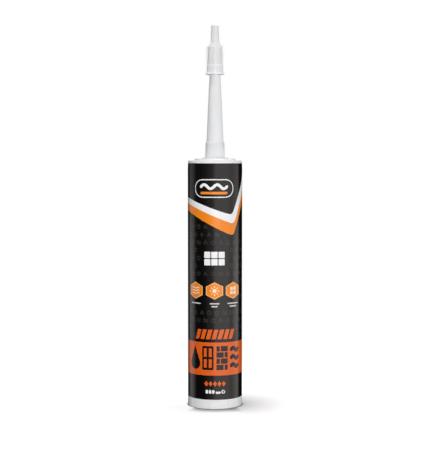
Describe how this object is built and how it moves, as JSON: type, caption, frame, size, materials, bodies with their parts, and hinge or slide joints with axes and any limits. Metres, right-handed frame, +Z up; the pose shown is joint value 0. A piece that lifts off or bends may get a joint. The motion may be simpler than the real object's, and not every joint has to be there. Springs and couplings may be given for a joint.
{
  "type": "sealant cartridge",
  "caption": "Sealant cartridge for a caulking gun: moulded barrel with printed film, push-up piston, screw-on conical nozzle and finned pull-off cap.",
  "frame": {"origin": "centre of the open rear rim that the cartridge stands on", "axes": "+Z up the barrel's axis towards the nozzle, -Y towards the printed front"},
  "size_m": [0.0494, 0.0494, 0.3445],
  "materials": {
    "barrel_white": "satin white polyethylene",
    "label_film": "glossy printed film, black with an orange band and amber stripes",
    "sealant_paste": "smooth white paste",
    "piston_natural": "natural polyethylene, slightly waxy",
    "nozzle_white": "satin white polyethylene",
    "cap_natural": "natural polyethylene, slightly translucent"
  },
  "bodies": {
    "barrel": {"barrel": "barrel_white", "label": "label_film", "sealant": "sealant_paste"},
    "piston": {"piston": "piston_natural"},
    "nozzle": {"nozzle": "nozzle_white"},
    "cap": {"nozzle_cap": "cap_natural"}
  },
  "joints": [
    {"name": "piston_slide", "type": "slide", "parent": "barrel", "child": "piston", "axis": [0, 0, 1], "range_m": [0, 0.162], "deforming": ["sealant"]},
    {"name": "nozzle_lift", "type": "slide", "parent": "barrel", "child": "nozzle", "axis": [0, 0, 1], "range_m": [0, 0.02]},
    {"name": "cap_pull", "type": "slide", "parent": "nozzle", "child": "cap", "axis": [0, 0, 1], "range_m": [0, 0.03]}
  ]
}
